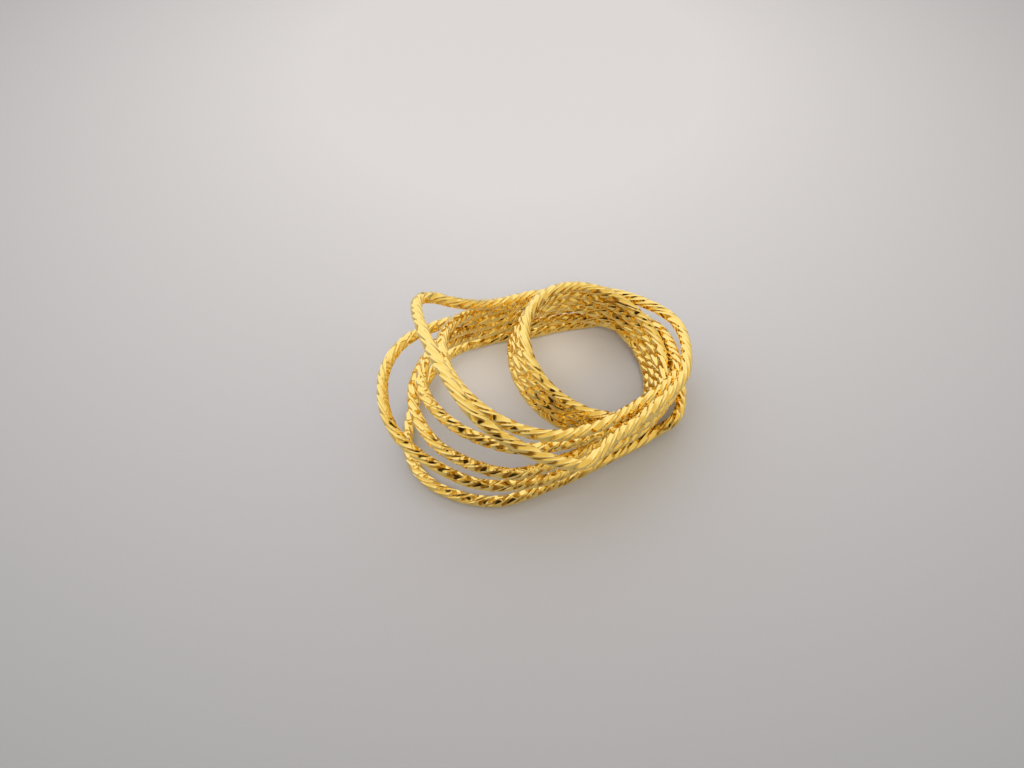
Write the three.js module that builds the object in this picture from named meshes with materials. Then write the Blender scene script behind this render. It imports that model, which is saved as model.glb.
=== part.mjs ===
// A finger ring of twisted gold wire, lying on its side on a flat surface.
// Four turns of wire, soldered side by side, make a round finger band that leans over to one side.
// Six wide loops hug the outside of the band and fan out from it, each at its own height.
// Sizes are in millimetres. +Z is up from the surface, and the fan opens towards -X.
import * as THREE from "three";

const WIRE_DIAMETER = 1.25;
const WIRE_SIDES = 8;
const LOOP_STEPS = 72;

// The finger band: its middle, the radius of its wires' centre lines, and the way its axis leans.
const BAND_TURNS = 4;
const BAND_RADIUS = 8.9;
const BAND_PITCH = 1.32;
const BAND_WIRE_RADIUS = 0.68;
const BAND_MIDDLE = { along: 6, across: 2.8, height: 5.75 };
const BAND_LEAN = 21;
const BAND_LEAN_BEARING = -17;
const BAND_STEPS = 56;
const BAND_ARC_STEPS = 4;

// The bends of each wide loop, in order round it: the bearing in degrees round the ring's middle,
// the reach from there, and the height of the wire's centre line above the surface.
const LOOP_BENDS = {
  loop_high: [
    { bearing: 0, reach: 16.9, height: 6.8 },
    { bearing: 27, reach: 18.7, height: 6.2 },
    { bearing: 55, reach: 15.9, height: 6.3 },
    { bearing: 88, reach: 12.1, height: 6.9 },
    { bearing: 120, reach: 10.5, height: 8.4 },
    { bearing: 146, reach: 10.8, height: 11.7 },
    { bearing: 159, reach: 13.1, height: 14.1 },
    { bearing: 169, reach: 13.8, height: 15.3 },
    { bearing: 188, reach: 12.7, height: 15.9 },
    { bearing: 218, reach: 12.6, height: 16.1 },
    { bearing: 243, reach: 14.2, height: 15 },
    { bearing: 265, reach: 14.9, height: 12.4 },
    { bearing: 285, reach: 15.3, height: 10.1 },
    { bearing: 305, reach: 13.3, height: 9 },
    { bearing: 332, reach: 13.7, height: 7.9 },
  ],
  loop_upper: [
    { bearing: 0, reach: 15.8, height: 5.8 },
    { bearing: 15, reach: 16.9, height: 5 },
    { bearing: 32, reach: 17.1, height: 4.6 },
    { bearing: 60, reach: 15.3, height: 4.7 },
    { bearing: 92, reach: 12, height: 5.6 },
    { bearing: 122, reach: 11, height: 7.1 },
    { bearing: 150, reach: 10.7, height: 9.9 },
    { bearing: 180, reach: 10.9, height: 12 },
    { bearing: 210, reach: 10.9, height: 12.3 },
    { bearing: 240, reach: 10.9, height: 11.2 },
    { bearing: 270, reach: 10.9, height: 9.6 },
    { bearing: 300, reach: 10.7, height: 8.4 },
    { bearing: 335, reach: 12.1, height: 7.2 },
  ],
  loop_left: [
    { bearing: 0, reach: 15, height: 1.2 },
    { bearing: 30, reach: 17.7, height: 0.9 },
    { bearing: 60, reach: 16.9, height: 3.2 },
    { bearing: 90, reach: 13.4, height: 4.4 },
    { bearing: 122, reach: 11.2, height: 5.5 },
    { bearing: 150, reach: 12.6, height: 8.1 },
    { bearing: 172, reach: 16, height: 8.9 },
    { bearing: 190, reach: 17.9, height: 8 },
    { bearing: 210, reach: 17.8, height: 6.1 },
    { bearing: 240, reach: 15.3, height: 4.1 },
    { bearing: 270, reach: 12.7, height: 3.4 },
    { bearing: 300, reach: 11.3, height: 3.5 },
    { bearing: 335, reach: 13.1, height: 3.2 },
  ],
  loop_middle: [
    { bearing: 0, reach: 15.5, height: 2.7 },
    { bearing: 30, reach: 16.6, height: 1.8 },
    { bearing: 60, reach: 14.4, height: 2 },
    { bearing: 90, reach: 11.8, height: 2.1 },
    { bearing: 122, reach: 11.6, height: 2.5 },
    { bearing: 150, reach: 11.9, height: 5 },
    { bearing: 175, reach: 13.3, height: 7.3 },
    { bearing: 200, reach: 15, height: 7.4 },
    { bearing: 225, reach: 15.1, height: 6.7 },
    { bearing: 255, reach: 13.6, height: 5.6 },
    { bearing: 285, reach: 11.3, height: 5.2 },
    { bearing: 310, reach: 11, height: 5 },
    { bearing: 335, reach: 13.4, height: 4.6 },
  ],
  loop_inner: [
    { bearing: 0, reach: 16, height: 4 },
    { bearing: 30, reach: 17, height: 3.1 },
    { bearing: 60, reach: 15.3, height: 3.2 },
    { bearing: 90, reach: 12.3, height: 3.4 },
    { bearing: 122, reach: 11.6, height: 3.9 },
    { bearing: 150, reach: 11.7, height: 6.7 },
    { bearing: 175, reach: 12.4, height: 9 },
    { bearing: 200, reach: 13.7, height: 9.4 },
    { bearing: 225, reach: 12.9, height: 8.6 },
    { bearing: 255, reach: 11.4, height: 7.3 },
    { bearing: 285, reach: 10.4, height: 6.7 },
    { bearing: 310, reach: 10.9, height: 6.4 },
    { bearing: 335, reach: 13.5, height: 6.1 },
  ],
  loop_low: [
    { bearing: 352, reach: 16.8, height: 2.6 },
    { bearing: 25, reach: 18.8, height: 1.2 },
    { bearing: 45, reach: 18.5, height: 0.9 },
    { bearing: 68, reach: 13.7, height: 0.67 },
    { bearing: 95, reach: 11.2, height: 0.67 },
    { bearing: 122, reach: 11.7, height: 0.8 },
    { bearing: 150, reach: 13.1, height: 1.4 },
    { bearing: 180, reach: 14.7, height: 1 },
    { bearing: 205, reach: 16.6, height: 0.7 },
    { bearing: 225, reach: 16.6, height: 0.65 },
    { bearing: 250, reach: 14.6, height: 0.7 },
    { bearing: 280, reach: 11.6, height: 1 },
    { bearing: 310, reach: 11.5, height: 1.6 },
    { bearing: 338, reach: 14.1, height: 1.5 },
  ],
};

function goldWire() {
  return new THREE.MeshStandardMaterial({ color: 0xe2b44e, roughness: 0.22, metalness: 1 });
}

// The point of the wire's centre line at one bend.
function bendPoint({ bearing, reach, height }) {
  const angle = THREE.MathUtils.degToRad(bearing);
  return new THREE.Vector3(reach * Math.cos(angle), reach * Math.sin(angle), height);
}

// A closed loop of wire that runs smoothly through its bends.
function wireLoop(name, bends) {
  const centreLine = new THREE.CatmullRomCurve3(bends.map(bendPoint), true, "catmullrom", 0.5);
  const wire = new THREE.TubeGeometry(centreLine, LOOP_STEPS, WIRE_DIAMETER / 2, WIRE_SIDES, true);
  const loop = new THREE.Mesh(wire, goldWire());
  loop.name = name;
  return loop;
}

// One side of the band's section: the round backs of the turns, each met by the next at a soldered neck.
function scallops(side) {
  const neckAngle = Math.asin(BAND_PITCH / 2 / BAND_WIRE_RADIUS);
  const points = [];
  for (let turn = 0; turn < BAND_TURNS; turn++) {
    const offset = (turn - (BAND_TURNS - 1) / 2) * BAND_PITCH;
    const start = turn === 0 ? -Math.PI / 2 : -neckAngle;
    const end = turn === BAND_TURNS - 1 ? Math.PI / 2 : neckAngle;
    for (let step = turn === 0 ? 0 : 1; step <= BAND_ARC_STEPS; step++) {
      const angle = start + ((end - start) * step) / BAND_ARC_STEPS;
      const bulge = side * BAND_WIRE_RADIUS * Math.cos(angle);
      points.push(new THREE.Vector2(BAND_RADIUS + bulge, offset + BAND_WIRE_RADIUS * Math.sin(angle)));
    }
  }
  return points;
}

// The finger band: the section of the soldered turns, swept once round the finger.
function fingerBand() {
  const outside = scallops(1);
  const inside = scallops(-1).reverse();
  const section = [...outside, ...inside.slice(1)];
  const band = new THREE.Mesh(new THREE.LatheGeometry(section, BAND_STEPS), goldWire());
  band.name = "finger_band";
  const lean = THREE.MathUtils.degToRad(BAND_LEAN);
  const bearing = THREE.MathUtils.degToRad(BAND_LEAN_BEARING);
  const axis = new THREE.Vector3(
    Math.sin(lean) * Math.cos(bearing),
    Math.sin(lean) * Math.sin(bearing),
    Math.cos(lean),
  );
  band.quaternion.setFromUnitVectors(THREE.Object3D.DEFAULT_UP, axis);
  band.position.set(BAND_MIDDLE.along, BAND_MIDDLE.across, BAND_MIDDLE.height);
  return band;
}

const ring = new THREE.Group();
ring.add(fingerBand());
for (const [name, bends] of Object.entries(LOOP_BENDS)) ring.add(wireLoop(name, bends));

export default ring;
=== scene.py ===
"""Dresses a finger ring of twisted gold wire and sets it on a pale, softly lit stage.

Four turns of wire make the round finger band, and six wide loops hug it and fan out to one side.
Every wire is a bar with hollow-cut sides, twisted first and then bent along its own closed path.
"""

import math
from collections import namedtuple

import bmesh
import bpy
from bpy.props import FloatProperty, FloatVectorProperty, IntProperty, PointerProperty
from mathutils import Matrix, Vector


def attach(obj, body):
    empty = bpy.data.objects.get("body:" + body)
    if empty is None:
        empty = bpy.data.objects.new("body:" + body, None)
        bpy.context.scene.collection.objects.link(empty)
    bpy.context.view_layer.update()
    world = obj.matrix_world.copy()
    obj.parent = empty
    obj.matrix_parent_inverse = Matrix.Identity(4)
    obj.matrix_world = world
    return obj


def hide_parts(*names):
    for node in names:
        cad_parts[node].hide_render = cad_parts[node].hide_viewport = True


bl_info = {
    "name": "Twisted-wire fan ring",
    "version": (1, 0, 0),
    "blender": (4, 5, 0),
    "location": "3D View > Sidebar > Ring",
    "description": "Models the twisted wires of a fan ring, with their gold and their stage",
    "category": "Add Mesh",
}

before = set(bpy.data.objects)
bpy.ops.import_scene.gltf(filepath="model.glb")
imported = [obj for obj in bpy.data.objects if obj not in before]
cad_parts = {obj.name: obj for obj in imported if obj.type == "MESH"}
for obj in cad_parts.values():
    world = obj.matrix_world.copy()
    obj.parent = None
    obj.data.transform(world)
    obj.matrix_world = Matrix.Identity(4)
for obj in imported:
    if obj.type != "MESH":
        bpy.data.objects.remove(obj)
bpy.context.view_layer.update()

MM = 0.001
RIDGE_LAYER = "ridge"

# How finely a wire is made: points along its path, and rows of faces in each length that repeats.
PATH_SAMPLES = 1600
ROWS_PER_LENGTH = 24
SOLDER_STEPS = 96
SHARP_ANGLE = math.radians(35)

# A small share of a facet, by which a point on a ridge counts as the start of the next facet.
FACET_NUDGE = 1e-3

# What keeps the cuts uneven: their shift from facet to facet, from turn to turn and from loop to loop,
# the number of finer cuts to each cut, and the waves round a wire in which its twist wavers.
FACET_SHIFT = math.radians(137)
TURN_SHIFT = 1.7
LOOP_SHIFT = 2.3
FINE_CUTS = 1.6
SLOW_WAVES = 5
QUICK_WAVES = 11

# The light all round: bright behind, dim in front and dark above the camera, each with a soft edge.
BRIGHT_TOWARD = (-0.4, 0.8, 0.4)
BRIGHT_INNER = math.radians(35)
BRIGHT_OUTER = math.radians(80)
DIM_TOWARD = (0, -1, 0.1)
DIM_INNER = math.radians(20)
DIM_OUTER = math.radians(55)
DARK_TOWARD = (-0.12, -0.52, 0.85)
DARK_INNER = math.radians(13)
DARK_OUTER = math.radians(25)

# The wide soft lamp that lifts the surface, over the camera.
FILL_SIZE = 0.4
FILL_COLOUR = (1, 0.97, 0.94)
FILL_PLACE = (0, -0.49, 0.63)

# The light that the gold throws on the surface: where each glow hangs in mm, and its power.
Glow = namedtuple("Glow", "place power")
GLOWS = (Glow((-8.5, 6.2, 8), 0.0004), Glow((3.6, 9.3, 5.5), 0.00015))
GLOW_SIZE = 6 * MM
GLOW_COLOUR = (1, 0.86, 0.68)

# One bend of a wide loop: degrees round the ring's middle, then the wire's reach and height in mm.
Bend = namedtuple("Bend", "bearing reach height")

# One place on a wire's closed path: its point, and the two directions across the wire there.
Place = namedtuple("Place", "point side rise")

LOOP_BENDS = {
    "loop_high": [
        Bend(0, 16.9, 6.8), Bend(27, 18.7, 6.2), Bend(55, 15.9, 6.3), Bend(88, 12.1, 6.9),
        Bend(120, 10.5, 8.4), Bend(146, 10.8, 11.7), Bend(159, 13.1, 14.1), Bend(169, 13.8, 15.3),
        Bend(188, 12.7, 15.9), Bend(218, 12.6, 16.1), Bend(243, 14.2, 15), Bend(265, 14.9, 12.4),
        Bend(285, 15.3, 10.1), Bend(305, 13.3, 9), Bend(332, 13.7, 7.9),
    ],
    "loop_upper": [
        Bend(0, 15.8, 5.8), Bend(15, 16.9, 5), Bend(32, 17.1, 4.6), Bend(60, 15.3, 4.7),
        Bend(92, 12, 5.6), Bend(122, 11, 7.1), Bend(150, 10.7, 9.9), Bend(180, 10.9, 12),
        Bend(210, 10.9, 12.3), Bend(240, 10.9, 11.2), Bend(270, 10.9, 9.6), Bend(300, 10.7, 8.4),
        Bend(335, 12.1, 7.2),
    ],
    "loop_left": [
        Bend(0, 15, 1.2), Bend(30, 17.7, 0.9), Bend(60, 16.9, 3.2), Bend(90, 13.4, 4.4),
        Bend(122, 11.2, 5.5), Bend(150, 12.6, 8.1), Bend(172, 16, 8.9), Bend(190, 17.9, 8),
        Bend(210, 17.8, 6.1), Bend(240, 15.3, 4.1), Bend(270, 12.7, 3.4), Bend(300, 11.3, 3.5),
        Bend(335, 13.1, 3.2),
    ],
    "loop_middle": [
        Bend(0, 15.5, 2.7), Bend(30, 16.6, 1.8), Bend(60, 14.4, 2), Bend(90, 11.8, 2.1),
        Bend(122, 11.6, 2.5), Bend(150, 11.9, 5), Bend(175, 13.3, 7.3), Bend(200, 15, 7.4),
        Bend(225, 15.1, 6.7), Bend(255, 13.6, 5.6), Bend(285, 11.3, 5.2), Bend(310, 11, 5),
        Bend(335, 13.4, 4.6),
    ],
    "loop_inner": [
        Bend(0, 16, 4), Bend(30, 17, 3.1), Bend(60, 15.3, 3.2), Bend(90, 12.3, 3.4),
        Bend(122, 11.6, 3.9), Bend(150, 11.7, 6.7), Bend(175, 12.4, 9), Bend(200, 13.7, 9.4),
        Bend(225, 12.9, 8.6), Bend(255, 11.4, 7.3), Bend(285, 10.4, 6.7), Bend(310, 10.9, 6.4),
        Bend(335, 13.5, 6.1),
    ],
    "loop_low": [
        Bend(352, 16.8, 2.6), Bend(25, 18.8, 1.2), Bend(45, 18.5, 0.9), Bend(68, 13.7, 0.67),
        Bend(95, 11.2, 0.67), Bend(122, 11.7, 0.8), Bend(150, 13.1, 1.4), Bend(180, 14.7, 1),
        Bend(205, 16.6, 0.7), Bend(225, 16.6, 0.65), Bend(250, 14.6, 0.7), Bend(280, 11.6, 1),
        Bend(310, 11.5, 1.6), Bend(338, 14.1, 1.5),
    ],
}


class WireSettings(bpy.types.PropertyGroup):
    """The twisted wire that every piece is made of."""

    ridge_radius: FloatProperty(
        name="Ridge radius", description="From the wire's centre to its ridges",
        default=0.66 * MM, unit="LENGTH", precision=5,
    )
    cut_depth: FloatProperty(
        name="Cut depth", description="From the ridges down to the middle of a facet",
        default=0.068 * MM, unit="LENGTH", precision=5,
    )
    cut_swell: FloatProperty(
        name="Cut swell", description="Share by which the cuts deepen and fade along a facet",
        default=0.35,
    )
    cut_length: FloatProperty(
        name="Cut length", description="From one deepest cut to the next along a facet",
        default=3.4 * MM, unit="LENGTH", precision=5,
    )
    facets: IntProperty(name="Facets", description="Cut sides round the wire", default=9, min=3)
    facet_points: IntProperty(
        name="Facet points", description="Points across one facet", default=4, min=2,
    )
    ridge_spacing: FloatProperty(
        name="Ridge spacing", description="From one ridge to the next along the wire",
        default=1.3 * MM, unit="LENGTH", precision=5,
    )
    step: FloatProperty(
        name="Step", description="Length of one row of faces along the wire",
        default=0.13 * MM, unit="LENGTH", precision=5,
    )
    waver: FloatProperty(
        name="Waver", description="How far the twist runs ahead of or behind an even one",
        default=math.radians(14), subtype="ANGLE",
    )
    unevenness: FloatProperty(
        name="Unevenness", description="How far the ridges stand from even places round the wire",
        default=math.radians(5), subtype="ANGLE",
    )


class BandSettings(bpy.types.PropertyGroup):
    """The finger band of soldered turns."""

    turns: IntProperty(
        name="Turns", description="Wires side by side round the finger", default=4, min=1,
    )
    radius: FloatProperty(
        name="Radius", description="From the band's axis to the wires' centre lines",
        default=8.9 * MM, unit="LENGTH", precision=5,
    )
    pitch: FloatProperty(
        name="Pitch", description="From one turn to the next along the band's axis",
        default=1.32 * MM, unit="LENGTH", precision=5,
    )
    middle: FloatVectorProperty(
        name="Middle", description="The band's middle", default=(6 * MM, 2.8 * MM, 5.75 * MM),
        subtype="TRANSLATION", unit="LENGTH", precision=5,
    )
    lean: FloatProperty(
        name="Lean", description="How far the band's axis leans from upright",
        default=math.radians(21), subtype="ANGLE",
    )
    lean_bearing: FloatProperty(
        name="Lean bearing", description="The way the axis leans, round from +X",
        default=math.radians(-17), subtype="ANGLE",
    )
    solder_thickness: FloatProperty(
        name="Solder thickness", description="Thickness of the solder between the turns",
        default=0.4 * MM, unit="LENGTH", precision=5,
    )


class GoldSettings(bpy.types.PropertyGroup):
    """The look of the gold."""

    # Painted light: the ridges are painted paler as a highlight, and the hollows deeper and warmer as
    # shade and gold-on-gold reflection.
    ridge_painted_highlight_colour: FloatVectorProperty(
        name="Ridge colour", description="Paler gold of the ridges",
        default=(0.97, 0.745, 0.28), subtype="COLOR", size=3, min=0, max=1,
    )
    groove_painted_shade_colour: FloatVectorProperty(
        name="Groove colour", description="Deeper gold in the hollow of each facet",
        default=(0.95, 0.685, 0.18), subtype="COLOR", size=3, min=0, max=1,
    )
    smooth_roughness: FloatProperty(
        name="Smooth roughness", description="Roughness of the bright cuts", default=0.06,
    )
    worn_roughness: FloatProperty(
        name="Worn roughness", description="Roughness of the duller cuts", default=0.15,
    )


class StageSettings(bpy.types.PropertyGroup):
    """The surface, the light and the camera."""

    # Painted light and shade on the surface: paler near a spot behind the ring and darker further
    # away, standing in for the fall of light across it.
    floor_painted_lit_colour: FloatVectorProperty(
        name="Floor back colour", description="Pale surface behind the ring",
        default=(0.74, 0.755, 0.815), subtype="COLOR", size=3, min=0, max=1,
    )
    floor_painted_shade_colour: FloatVectorProperty(
        name="Floor front colour", description="Darker surface in front of the ring",
        default=(0.35, 0.36, 0.405), subtype="COLOR", size=3, min=0, max=1,
    )
    floor_painted_light_spot: FloatVectorProperty(
        name="Floor pale spot", description="Where the surface is palest",
        default=(-3 * MM, 75 * MM, 0), subtype="TRANSLATION", unit="LENGTH", precision=5,
    )
    floor_painted_light_reach: FloatProperty(
        name="Floor pale", description="How far from its pale spot the surface stays palest",
        default=35 * MM, unit="LENGTH",
    )
    floor_painted_shade_reach: FloatProperty(
        name="Floor dark", description="How far from its pale spot the surface is darkest",
        default=135 * MM, unit="LENGTH",
    )
    floor_size: FloatProperty(
        name="Floor size", description="Side of the surface", default=3, unit="LENGTH",
    )
    fill_power: FloatProperty(
        name="Fill power", description="Power of the soft light on the surface", default=1.7,
    )
    room_strength: FloatProperty(
        name="Room strength", description="Strength of the light all round", default=1,
    )
    bright_colour: FloatVectorProperty(
        name="Bright colour", description="Light from behind the ring",
        default=(1.1, 1.11, 1.19), subtype="COLOR", size=3, min=0, max=4,
    )
    side_colour: FloatVectorProperty(
        name="Side colour", description="Light from the sides and from above",
        default=(0.82, 0.7, 0.46), subtype="COLOR", size=3, min=0, max=4,
    )
    dim_colour: FloatVectorProperty(
        name="Dim colour", description="Dim light from low in front",
        default=(0.2, 0.11, 0.03), subtype="COLOR", size=3, min=0, max=4,
    )
    dark_colour: FloatVectorProperty(
        name="Dark colour", description="Dark patch above the camera that the facets mirror",
        default=(0.03, 0.016, 0.006), subtype="COLOR", size=3, min=0, max=1,
    )
    backdrop_colour: FloatVectorProperty(
        name="Backdrop colour", description="What the camera sees past the surface",
        default=(0.42, 0.41, 0.4), subtype="COLOR", size=3, min=0, max=1,
    )
    camera_target: FloatVectorProperty(
        name="Camera target", description="Where the camera looks",
        default=(-3.1 * MM, 3.4 * MM, 0), subtype="TRANSLATION", unit="LENGTH", precision=5,
    )
    camera_distance: FloatProperty(
        name="Camera distance", description="From the camera to its target",
        default=105 * MM, unit="LENGTH",
    )
    camera_elevation: FloatProperty(
        name="Camera elevation", description="Angle of the view down to the surface",
        default=math.radians(52), subtype="ANGLE",
    )
    lens: FloatProperty(
        name="Lens", description="Focal length of the camera", default=29.7, unit="CAMERA",
    )
    picture_width: FloatProperty(
        name="Picture width", description="Width of the picture behind the lens",
        default=36, unit="CAMERA",
    )


def closed_places(points, count):
    """Evenly spaced places round a closed path, and its length.

    The directions across the path turn with it, and meet again at its start.
    """
    lengths = [0.0]
    for start, end in zip(points, points[1:] + points[:1]):
        lengths.append(lengths[-1] + (end - start).length)
    spots = []
    segment = 0
    for index in range(count):
        wanted = lengths[-1] * index / count
        while lengths[segment + 1] < wanted:
            segment += 1
        share = (wanted - lengths[segment]) / (lengths[segment + 1] - lengths[segment])
        spots.append(points[segment].lerp(points[(segment + 1) % len(points)], share))
    tangents = [(spots[(i + 1) % count] - spots[i - 1]).normalized() for i in range(count)]
    sides = [tangents[0].orthogonal().normalized()]
    for before, after in zip(tangents, tangents[1:] + tangents[:1]):
        sides.append(before.rotation_difference(after) @ sides[-1])
    last = sides.pop()
    gap = math.atan2(last.cross(sides[0]).dot(tangents[0]), last.dot(sides[0]))
    places = []
    for index, (spot, tangent, side) in enumerate(zip(spots, tangents, sides)):
        turned = Matrix.Rotation(gap * index / count, 3, tangent) @ side
        places.append(Place(spot, turned, tangent.cross(turned)))
    return places, lengths[-1]


def bend_path(bends):
    """A smooth closed path through a loop's bends, as many short steps."""
    knots = []
    for bend in bends:
        angle = math.radians(bend.bearing)
        knot = Vector((bend.reach * math.cos(angle), bend.reach * math.sin(angle), bend.height))
        knots.append(knot * MM)
    count = len(knots)
    per_bend = PATH_SAMPLES // count
    path = []
    for index in range(count):
        before, start, end, after = (knots[(index + shift) % count] for shift in (-1, 0, 1, 2))
        for step in range(per_bend):
            t = step / per_bend
            bow = (2 * before - 5 * start + 4 * end - after) * t * t
            bow += (3 * start - 3 * end + after - before) * t**3
            path.append(start + ((end - before) * t + bow) / 2)
    return path


def band_matrix(band):
    """Turns a band that stands on +Z into the leaning one, at its own middle."""
    lean = Matrix.Rotation(band.lean, 4, "Y")
    bearing = Matrix.Rotation(band.lean_bearing, 4, "Z")
    return Matrix.Translation(band.middle) @ bearing @ lean


def turn_path(band, turn):
    """The circle of one turn of the finger band."""
    offset = (turn - (band.turns - 1) / 2) * band.pitch
    place = band_matrix(band)
    path = []
    for step in range(PATH_SAMPLES):
        angle = 2 * math.pi * step / PATH_SAMPLES
        spot = Vector((band.radius * math.cos(angle), band.radius * math.sin(angle), offset))
        path.append(place @ spot)
    return path


def add_twisted_wire(bm, wire, path, phase):
    """Adds one closed wire: a twisted bar, whose facets are cut as it is bent round its path.

    The cuts even out towards the bar's two ends, so that these meet and are welded.
    """
    around = sum((end - start).length for start, end in zip(path, path[1:] + path[:1]))
    lengths = round(around / (ROWS_PER_LENGTH * wire.step))
    rows = lengths * ROWS_PER_LENGTH
    places, length = closed_places(path, rows)
    twist = -2 * math.pi * round(length / wire.ridge_spacing) / wire.facets
    cuts = round(length / wire.cut_length)
    fine_cuts = round(FINE_CUTS * cuts)
    others = set(bm.verts)
    twist_bar(bm, wire, length, lengths, twist)
    bar = [vert for vert in bm.verts if vert not in others]
    ridge = bm.verts.layers.float[RIDGE_LAYER]
    for vert in bar:
        row = round(vert.co.z * rows / length)
        along = 2 * math.pi * row / rows
        angle = math.atan2(vert.co.y, vert.co.x)
        turned = angle - twist * row / rows
        facet, share = divmod(turned * wire.facets / (2 * math.pi) + FACET_NUDGE, 1)
        shift = FACET_SHIFT * (facet % wire.facets) + phase
        waves = math.sin(cuts * along + shift) + math.sin(fine_cuts * along - 2 * shift)
        uneven = min(1, row / ROWS_PER_LENGTH, (rows - row) / ROWS_PER_LENGTH)
        swell = 1 + uneven * wire.cut_swell * waves
        hollow = math.sin(math.pi * share)
        # How near a ridge the point lies; the gold paints shade in the hollows and a highlight on the
        # ridges by it.
        vert[ridge] = 1 - hollow
        reach = wire.ridge_radius - wire.cut_depth * hollow * swell
        waves = math.sin(SLOW_WAVES * along + phase) + math.sin(QUICK_WAVES * along + 2 * phase)
        angle += wire.waver * waves / 2
        waves = math.sin(2 * turned + phase) + math.sin(4 * turned - phase)
        angle += uneven * wire.unevenness * waves
        place = places[row % rows]
        across = math.cos(angle) * place.side + math.sin(angle) * place.rise
        vert.co = place.point + reach * across
    bmesh.ops.remove_doubles(bm, verts=bar, dist=wire.step / 100)


def twist_bar(bm, wire, length, lengths, twist):
    """Screws a round section up +Z into a short length of bar, and repeats that to the full length."""
    others = set(bm.verts)
    section = bmesh.ops.create_circle(
        bm, segments=wire.facets * wire.facet_points, radius=wire.ridge_radius
    )["verts"]
    edges = list(dict.fromkeys(edge for vert in section for edge in vert.link_edges))
    screw = {"axis": (0, 0, 1), "cent": (0, 0, 0), "angle": twist / lengths, "use_merge": False}
    rise = length / lengths
    bmesh.ops.spin(
        bm, geom=section + edges, dvec=(0, 0, rise / ROWS_PER_LENGTH), steps=ROWS_PER_LENGTH,
        use_duplicate=False, **screw,
    )
    verts = [vert for vert in bm.verts if vert not in others]
    edges = dict.fromkeys(edge for vert in verts for edge in vert.link_edges)
    faces = dict.fromkeys(face for vert in verts for face in vert.link_faces)
    screw["angle"] *= lengths - 1
    bmesh.ops.spin(
        bm, geom=[*verts, *edges, *faces], dvec=(0, 0, rise), steps=lengths - 1,
        use_duplicate=True, **screw,
    )


def finish_piece(bm, name, node):
    """Makes the modelled wires an object that stands for a solid of the frame."""
    bmesh.ops.recalc_face_normals(bm, faces=bm.faces)
    for face in bm.faces:
        face.smooth = True
    mesh = bpy.data.meshes.new(name)
    bm.to_mesh(mesh)
    bm.free()
    mesh.set_sharp_from_angle(angle=SHARP_ANGLE)
    mesh.materials.append(twisted_gold())
    piece = bpy.data.objects.new(name, mesh)
    bpy.context.scene.collection.objects.link(piece)
    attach(piece, "root")
    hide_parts(node)


def new_wire_mesh():
    """An empty bmesh with the layer that marks the ridges of the wire."""
    bm = bmesh.new()
    bm.verts.layers.float.new(RIDGE_LAYER)
    return bm


def fine_mottle():
    """Shader group: a soft, uneven mask from noise at a given scale, with a given contrast."""
    group = bpy.data.node_groups.get("fine_mottle")
    if group:
        return group
    group = bpy.data.node_groups.new("fine_mottle", "ShaderNodeTree")
    group.interface.new_socket("Vector", in_out="INPUT", socket_type="NodeSocketVector")
    group.interface.new_socket("Scale", in_out="INPUT", socket_type="NodeSocketFloat")
    group.interface.new_socket("Low", in_out="INPUT", socket_type="NodeSocketFloat")
    group.interface.new_socket("High", in_out="INPUT", socket_type="NodeSocketFloat")
    group.interface.new_socket("Mask", in_out="OUTPUT", socket_type="NodeSocketFloat")
    nodes, links = group.nodes, group.links
    inside = nodes.new("NodeGroupInput")
    outside = nodes.new("NodeGroupOutput")
    noise = nodes.new("ShaderNodeTexNoise")
    noise.inputs["Detail"].default_value = 4
    spread = nodes.new("ShaderNodeMapRange")
    links.new(inside.outputs["Vector"], noise.inputs["Vector"])
    links.new(inside.outputs["Scale"], noise.inputs["Scale"])
    links.new(noise.outputs["Fac"], spread.inputs["Value"])
    links.new(inside.outputs["Low"], spread.inputs["From Min"])
    links.new(inside.outputs["High"], spread.inputs["From Max"])
    links.new(spread.outputs["Result"], outside.inputs["Mask"])
    return group


def add_mottle(tree, scale, low, high):
    """Places the mottle group in a material, on the piece's own coordinates."""
    place = tree.nodes.new("ShaderNodeTexCoord")
    mottle = tree.nodes.new("ShaderNodeGroup")
    mottle.node_tree = fine_mottle()
    mottle.inputs["Scale"].default_value = scale
    mottle.inputs["Low"].default_value = low
    mottle.inputs["High"].default_value = high
    tree.links.new(place.outputs["Object"], mottle.inputs["Vector"])
    return mottle.outputs["Mask"]


def add_direction_mask(tree, toward, inner, outer):
    """A round mask for a world: full within the inner angle of a direction, none past the outer."""
    place = tree.nodes.new("ShaderNodeTexCoord")
    match = tree.nodes.new("ShaderNodeVectorMath")
    match.operation = "DOT_PRODUCT"
    match.inputs[1].default_value = Vector(toward).normalized()
    edge = tree.nodes.new("ShaderNodeMapRange")
    edge.interpolation_type = "SMOOTHSTEP"
    edge.inputs["From Min"].default_value = math.cos(outer)
    edge.inputs["From Max"].default_value = math.cos(inner)
    tree.links.new(place.outputs["Generated"], match.inputs[0])
    tree.links.new(match.outputs["Value"], edge.inputs["Value"])
    return edge.outputs["Result"]


def blend_ends(mix):
    """The two sockets that a blend runs between."""
    return [socket for socket in mix.inputs if socket.name in ("A", "B") and socket.enabled]


def add_blend(tree, mask, low, high, kind):
    """Blends two colours or two values by a mask."""
    mix = tree.nodes.new("ShaderNodeMix")
    mix.data_type = kind
    first, second = blend_ends(mix)
    first.default_value = (*low, 1) if kind == "RGBA" else low
    second.default_value = (*high, 1) if kind == "RGBA" else high
    factor = next(s for s in mix.inputs if s.name == "Factor" and s.enabled)
    tree.links.new(mask, factor)
    return next(s for s in mix.outputs if s.enabled)


def add_bump(tree, height, strength, depth):
    """Roughens a material's surface by a mask, to a given depth in mm."""
    bump = tree.nodes.new("ShaderNodeBump")
    bump.inputs["Strength"].default_value = strength
    bump.inputs["Distance"].default_value = depth * MM
    tree.links.new(height, bump.inputs["Height"])
    tree.links.new(bump.outputs["Normal"], tree.nodes["Principled BSDF"].inputs["Normal"])


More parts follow.
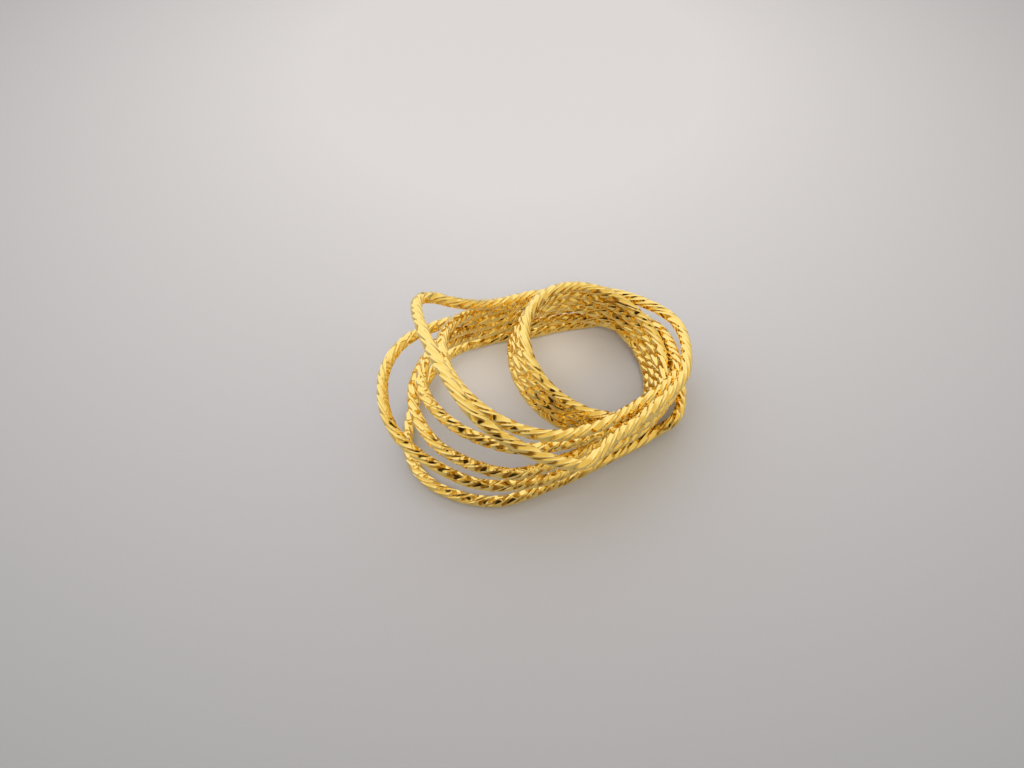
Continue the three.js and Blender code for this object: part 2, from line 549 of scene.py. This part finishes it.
def twisted_gold():
    """Yellow gold with painted highlights on the ridges, painted shade in the deeper hollows, and
    uneven polish.
    """
    material = bpy.data.materials.get("twisted_gold")
    if material:
        return material
    gold = bpy.context.scene.ring_gold
    material = bpy.data.materials.new("twisted_gold")
    material.use_nodes = True
    tree = material.node_tree
    shader = tree.nodes["Principled BSDF"]
    shader.inputs["Metallic"].default_value = 1
    # The ridge mask blends from painted shade in the hollows to a painted highlight on the ridges.
    ridge = tree.nodes.new("ShaderNodeAttribute")
    ridge.attribute_name = RIDGE_LAYER
    colour = add_blend(tree, ridge.outputs["Fac"], gold.groove_painted_shade_colour, gold.ridge_painted_highlight_colour, "RGBA")
    tree.links.new(colour, shader.inputs["Base Color"])
    polish = add_mottle(tree, scale=900, low=0.35, high=0.65)
    roughness = add_blend(tree, polish, gold.smooth_roughness, gold.worn_roughness, "FLOAT")
    tree.links.new(roughness, shader.inputs["Roughness"])
    scratches = add_mottle(tree, scale=5200, low=0.3, high=0.7)
    add_bump(tree, scratches, strength=0.06, depth=0.02)
    return material


def pale_surface_painted_shade():
    """A smooth, pale, faintly mottled tabletop, with painted light and shade: palest near a spot
    behind the ring and darker further from it.
    """
    stage = bpy.context.scene.ring_stage
    material = bpy.data.materials.new("pale_surface_painted_shade")
    material.use_nodes = True
    tree = material.node_tree
    shader = tree.nodes["Principled BSDF"]
    shader.inputs["Roughness"].default_value = 0.6
    shader.inputs["Specular IOR Level"].default_value = 0.25
    # Painted light and shade: the colour fades from pale near a spot behind the ring to darker further
    # from it.
    place = tree.nodes.new("ShaderNodeTexCoord")
    away = tree.nodes.new("ShaderNodeVectorMath")
    away.operation = "DISTANCE"
    away.inputs[1].default_value = stage.floor_painted_light_spot
    painted_falloff = tree.nodes.new("ShaderNodeMapRange")
    painted_falloff.inputs["From Min"].default_value = stage.floor_painted_light_reach
    painted_falloff.inputs["From Max"].default_value = stage.floor_painted_shade_reach
    tree.links.new(place.outputs["Object"], away.inputs[0])
    tree.links.new(away.outputs["Value"], painted_falloff.inputs["Value"])
    painted_light_tone = add_blend(
        tree, painted_falloff.outputs["Result"], stage.floor_painted_lit_colour, stage.floor_painted_shade_colour, "RGBA"
    )
    tree.links.new(painted_light_tone, shader.inputs["Base Color"])
    grain = add_mottle(tree, scale=2600, low=0.3, high=0.7)
    add_bump(tree, grain, strength=0.12, depth=0.05)
    return material


class RING_OT_finger_band(bpy.types.Operator):
    """Model the twisted turns of the finger band and the solder between them"""

    bl_idname = "ring.finger_band"
    bl_label = "Finger Band"

    def execute(self, context):
        wire, band = context.scene.ring_wire, context.scene.ring_band
        bm = new_wire_mesh()
        for turn in range(band.turns):
            add_twisted_wire(bm, wire, turn_path(band, turn), phase=TURN_SHIFT * turn)
        self.add_solder(bm, band)
        finish_piece(bm, "finger_band_wires", "finger_band")
        return {"FINISHED"}

    def add_solder(self, bm, band):
        """Fills the grooves between the turns with a thin round wall."""
        half_height = (band.turns - 1) * band.pitch / 2
        corners = []
        for side, level in ((-1, -1), (1, -1), (1, 1), (-1, 1)):
            reach = band.radius + side * band.solder_thickness / 2
            corners.append(bm.verts.new((reach, 0, level * half_height)))
        edges = [bm.edges.new((corners[i - 1], corners[i])) for i in range(4)]
        before = set(bm.verts) - set(corners)
        bmesh.ops.spin(
            bm, geom=corners + edges, axis=(0, 0, 1), cent=(0, 0, 0), dvec=(0, 0, 0),
            angle=2 * math.pi, steps=SOLDER_STEPS, use_merge=True, use_duplicate=False,
        )
        wall = [vert for vert in bm.verts if vert not in before]
        bmesh.ops.transform(bm, matrix=band_matrix(band), verts=wall)


class RING_OT_wide_loops(bpy.types.Operator):
    """Model the six wide loops of twisted wire that hug the band and fan out"""

    bl_idname = "ring.wide_loops"
    bl_label = "Wide Loops"

    def execute(self, context):
        wire = context.scene.ring_wire
        for number, (node, bends) in enumerate(LOOP_BENDS.items()):
            bm = new_wire_mesh()
            add_twisted_wire(bm, wire, bend_path(bends), phase=LOOP_SHIFT * number)
            finish_piece(bm, f"{node}_wire", node)
        return {"FINISHED"}


class RING_OT_stage(bpy.types.Operator):
    """Lay the pale surface, light it softly and set up the camera"""

    bl_idname = "ring.stage"
    bl_label = "Stage"

    def execute(self, context):
        stage = context.scene.ring_stage
        self.add_floor(stage)
        self.add_room(context.scene, stage)
        fill = self.add_lamp("soft_fill", FILL_SIZE, stage.fill_power, FILL_COLOUR, FILL_PLACE)
        fill.rotation_euler = (-fill.location).to_track_quat("-Z", "Y").to_euler()
        for glow in GLOWS:
            self.add_lamp("inner_glow", GLOW_SIZE, glow.power, GLOW_COLOUR, Vector(glow.place) * MM)
        self.add_camera(context.scene, stage)
        context.scene.view_settings.view_transform = "Standard"
        return {"FINISHED"}

    def add_floor(self, stage):
        """The flat surface that the ring lies on."""
        bm = bmesh.new()
        bmesh.ops.create_grid(bm, x_segments=1, y_segments=1, size=stage.floor_size / 2)
        mesh = bpy.data.meshes.new("pale_floor")
        bm.to_mesh(mesh)
        bm.free()
        mesh.materials.append(pale_surface_painted_shade())
        floor = bpy.data.objects.new("pale_floor", mesh)
        bpy.context.scene.collection.objects.link(floor)

    def add_room(self, scene, stage):
        """Soft light all round, with a dark patch that the facets mirror."""
        world = bpy.data.worlds.new("pale_room")
        scene.world = world
        world.use_nodes = True
        tree = world.node_tree
        background = tree.nodes["Background"]
        room = None
        for toward, inner, outer, light in (
            (BRIGHT_TOWARD, BRIGHT_INNER, BRIGHT_OUTER, stage.bright_colour),
            (DIM_TOWARD, DIM_INNER, DIM_OUTER, stage.dim_colour),
            (DARK_TOWARD, DARK_INNER, DARK_OUTER, stage.dark_colour),
        ):
            mask = add_direction_mask(tree, toward, inner, outer)
            lit = add_blend(tree, mask, stage.side_colour, light, "RGBA")
            if room:
                tree.links.new(room, blend_ends(lit.node)[0])
            room = lit
        seen = tree.nodes.new("ShaderNodeLightPath").outputs["Is Camera Ray"]
        backdrop = add_blend(tree, seen, stage.side_colour, stage.backdrop_colour, "RGBA")
        tree.links.new(room, blend_ends(backdrop.node)[0])
        tree.links.new(backdrop, background.inputs["Color"])
        background.inputs["Strength"].default_value = stage.room_strength

    def add_lamp(self, name, size, power, colour, place):
        """A soft round lamp that shines down, and that neither the camera nor the gold sees."""
        light = bpy.data.lights.new(name, "AREA")
        light.shape = "DISK"
        light.size = size
        light.energy = power
        light.color = colour
        lamp = bpy.data.objects.new(name, light)
        lamp.location = place
        lamp.visible_camera = False
        lamp.visible_glossy = False
        bpy.context.scene.collection.objects.link(lamp)
        return lamp

    def add_camera(self, scene, stage):
        """The camera, at the photograph's angle to the ring."""
        lens = bpy.data.cameras.new("camera")
        lens.lens = stage.lens
        lens.sensor_width = stage.picture_width
        lens.clip_start = 2 * MM
        camera = bpy.data.objects.new("camera", lens)
        target = Vector(stage.camera_target)
        back, up = math.cos(stage.camera_elevation), math.sin(stage.camera_elevation)
        away = Vector((0, -back, up))
        camera.location = target + stage.camera_distance * away
        camera.rotation_euler = (math.pi / 2 - stage.camera_elevation, 0, 0)
        scene.collection.objects.link(camera)
        scene.camera = camera


class RING_PT_panel(bpy.types.Panel):
    """Lists the pieces of the ring and their settings"""

    bl_idname = "RING_PT_panel"
    bl_label = "Twisted-wire ring"
    bl_space_type = "VIEW_3D"
    bl_region_type = "UI"
    bl_category = "Ring"

    def draw(self, context):
        for operator in OPERATORS:
            self.layout.operator(operator.bl_idname)
        for holder, settings in SETTINGS.items():
            box = self.layout.box()
            group = getattr(context.scene, holder)
            for name in settings.__annotations__:
                box.prop(group, name)


SETTINGS = {
    "ring_wire": WireSettings,
    "ring_band": BandSettings,
    "ring_gold": GoldSettings,
    "ring_stage": StageSettings,
}
OPERATORS = (RING_OT_finger_band, RING_OT_wide_loops, RING_OT_stage)
CLASSES = (*SETTINGS.values(), *OPERATORS, RING_PT_panel)


def register():
    for cls in CLASSES:
        bpy.utils.register_class(cls)
    for holder, settings in SETTINGS.items():
        setattr(bpy.types.Scene, holder, PointerProperty(type=settings))


def unregister():
    for holder in SETTINGS:
        delattr(bpy.types.Scene, holder)
    for cls in reversed(CLASSES):
        bpy.utils.unregister_class(cls)


def main():
    register()
    bpy.ops.ring.finger_band()
    bpy.ops.ring.wide_loops()
    bpy.ops.ring.stage()


if __name__ == "__main__":
    main()
